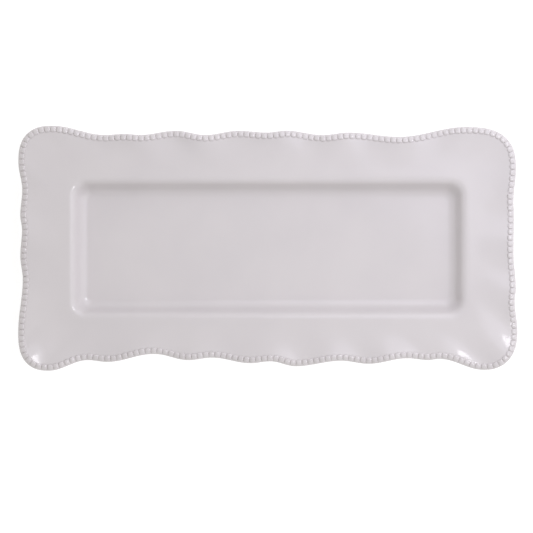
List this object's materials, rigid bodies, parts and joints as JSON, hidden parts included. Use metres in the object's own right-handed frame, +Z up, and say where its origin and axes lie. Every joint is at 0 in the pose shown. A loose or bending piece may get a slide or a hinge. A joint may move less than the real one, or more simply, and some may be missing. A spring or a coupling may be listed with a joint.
{
  "type": "serving platter",
  "caption": "Long rectangular china serving platter with a deep level well, a wide rim with a scalloped, gently rippled edge, and a row of beads along the lip.",
  "frame": {"origin": "middle of the footprint, on the surface that the foot ring stands on", "axes": "+X along the length, +Y towards the back long side, +Z up out of the well"},
  "size_m": [0.406, 0.199, 0.029],
  "materials": {
    "glaze": "glossy off-white glaze, faintly warm",
    "bare_clay": "unglazed, wiped clean, matte"
  },
  "bodies": {
    "root": {"foot_ring": "bare_clay", "well_floor": "glaze", "well_wall": "glaze", "rim": "glaze", "lip": "glaze", "beads_front": "glaze", "beads_right": "glaze", "beads_back": "glaze", "beads_left": "glaze"}
  },
  "joints": []
}
